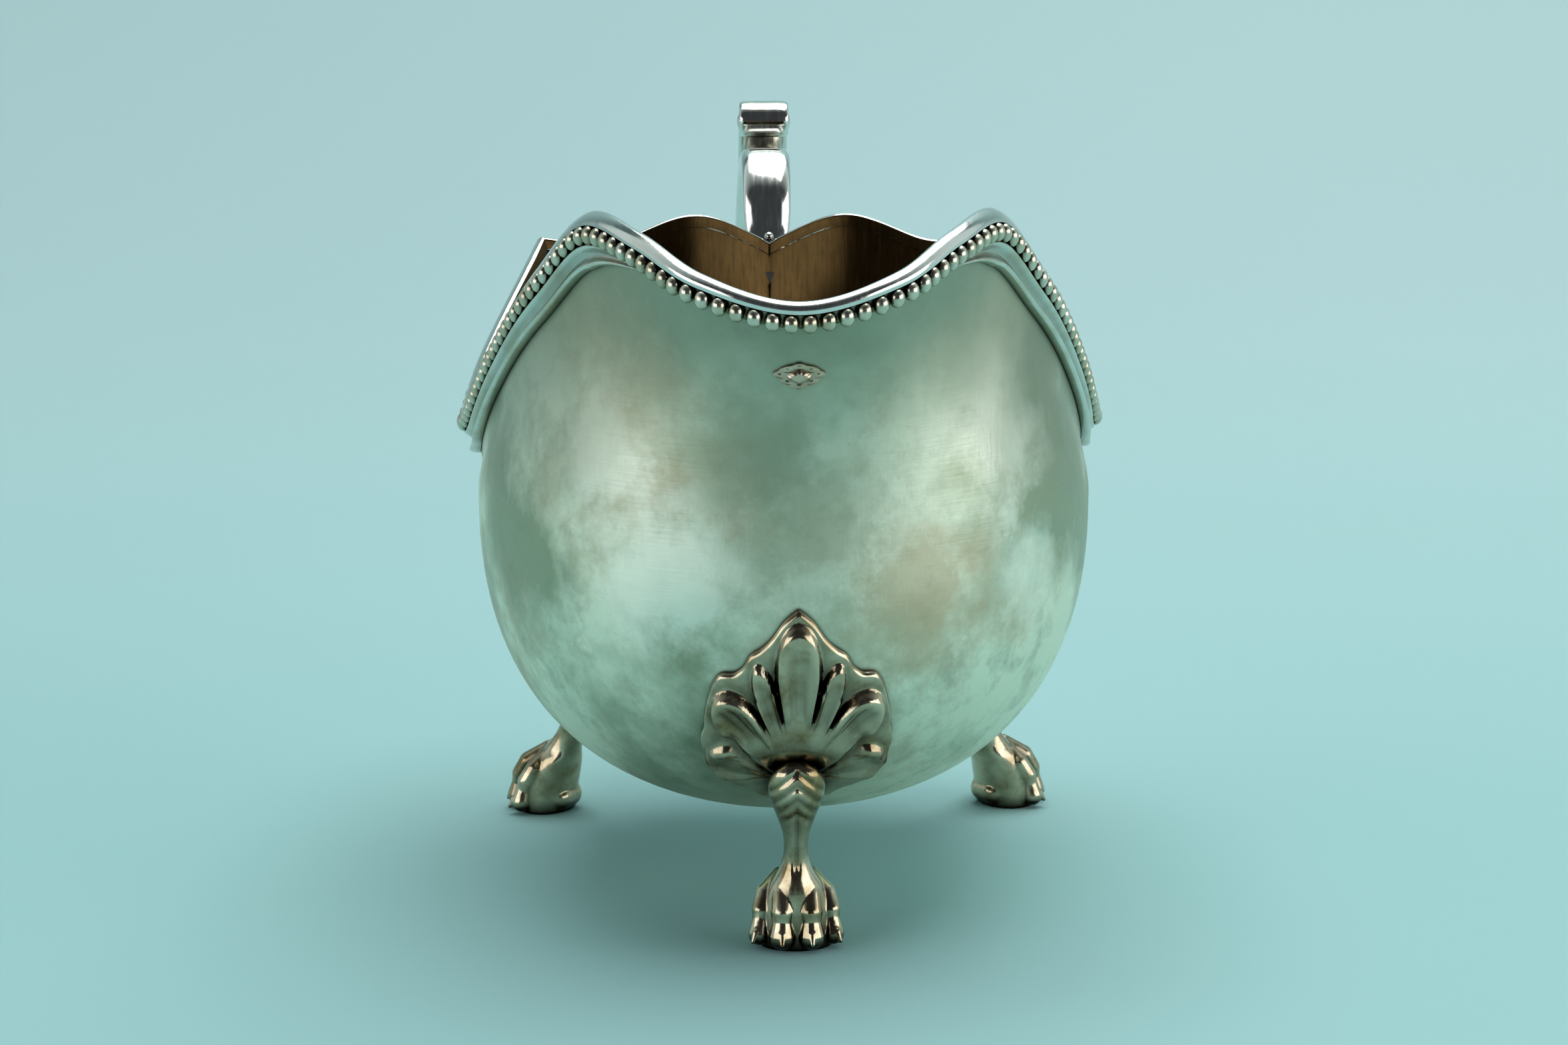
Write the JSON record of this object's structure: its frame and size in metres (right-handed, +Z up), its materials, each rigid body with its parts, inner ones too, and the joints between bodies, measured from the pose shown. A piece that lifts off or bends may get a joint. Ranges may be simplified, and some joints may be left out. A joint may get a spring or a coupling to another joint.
{
  "type": "sauce boat",
  "caption": "Footed oval sauce boat with a dipped pouring lip, beaded rim, paw feet with leaf knees and a scroll handle.",
  "frame": {"origin": "on the table plane under the middle of the overall length and width", "axes": "+Z up, -Y towards the pouring lip, +Y towards the handle, +X to the right for someone facing the lip"},
  "size_m": [0.1044, 0.176, 0.1143],
  "materials": {
    "bowl_plate": "worn silver plate, softly hazed, with cloudy tarnish",
    "rim_band": "polished silver plate",
    "bead_wire": "polished silver plate, dark between the beads",
    "cove_moulding": "polished silver plate, dark in the hollow",
    "cast_leaf": "worn silver plate over brass, dark in the hollows",
    "cast_leg": "worn silver plate over brass, dark in the hollows",
    "handle": "polished silver plate",
    "cartouche": "worn plate over brass"
  },
  "bodies": {
    "root": {"bowl": "bowl_plate", "rim_band_front": "rim_band", "rim_band_left": "rim_band", "rim_band_right": "rim_band", "rim_band_back": "rim_band", "rim_pearl": "rim_band", "bead_wire_front": "bead_wire", "bead_wire_left": "bead_wire", "bead_wire_right": "bead_wire", "bead_wire_back": "bead_wire", "cove_moulding_left": "cove_moulding", "cove_moulding_right": "cove_moulding", "front_leaf": "cast_leaf", "left_leaf": "cast_leaf", "right_leaf": "cast_leaf", "front_leg": "cast_leg", "left_leg": "cast_leg", "right_leg": "cast_leg", "handle_strap": "handle", "thumb_scroll": "handle", "upper_socket": "handle", "lower_socket": "handle", "cartouche": "cartouche"}
  },
  "joints": []
}
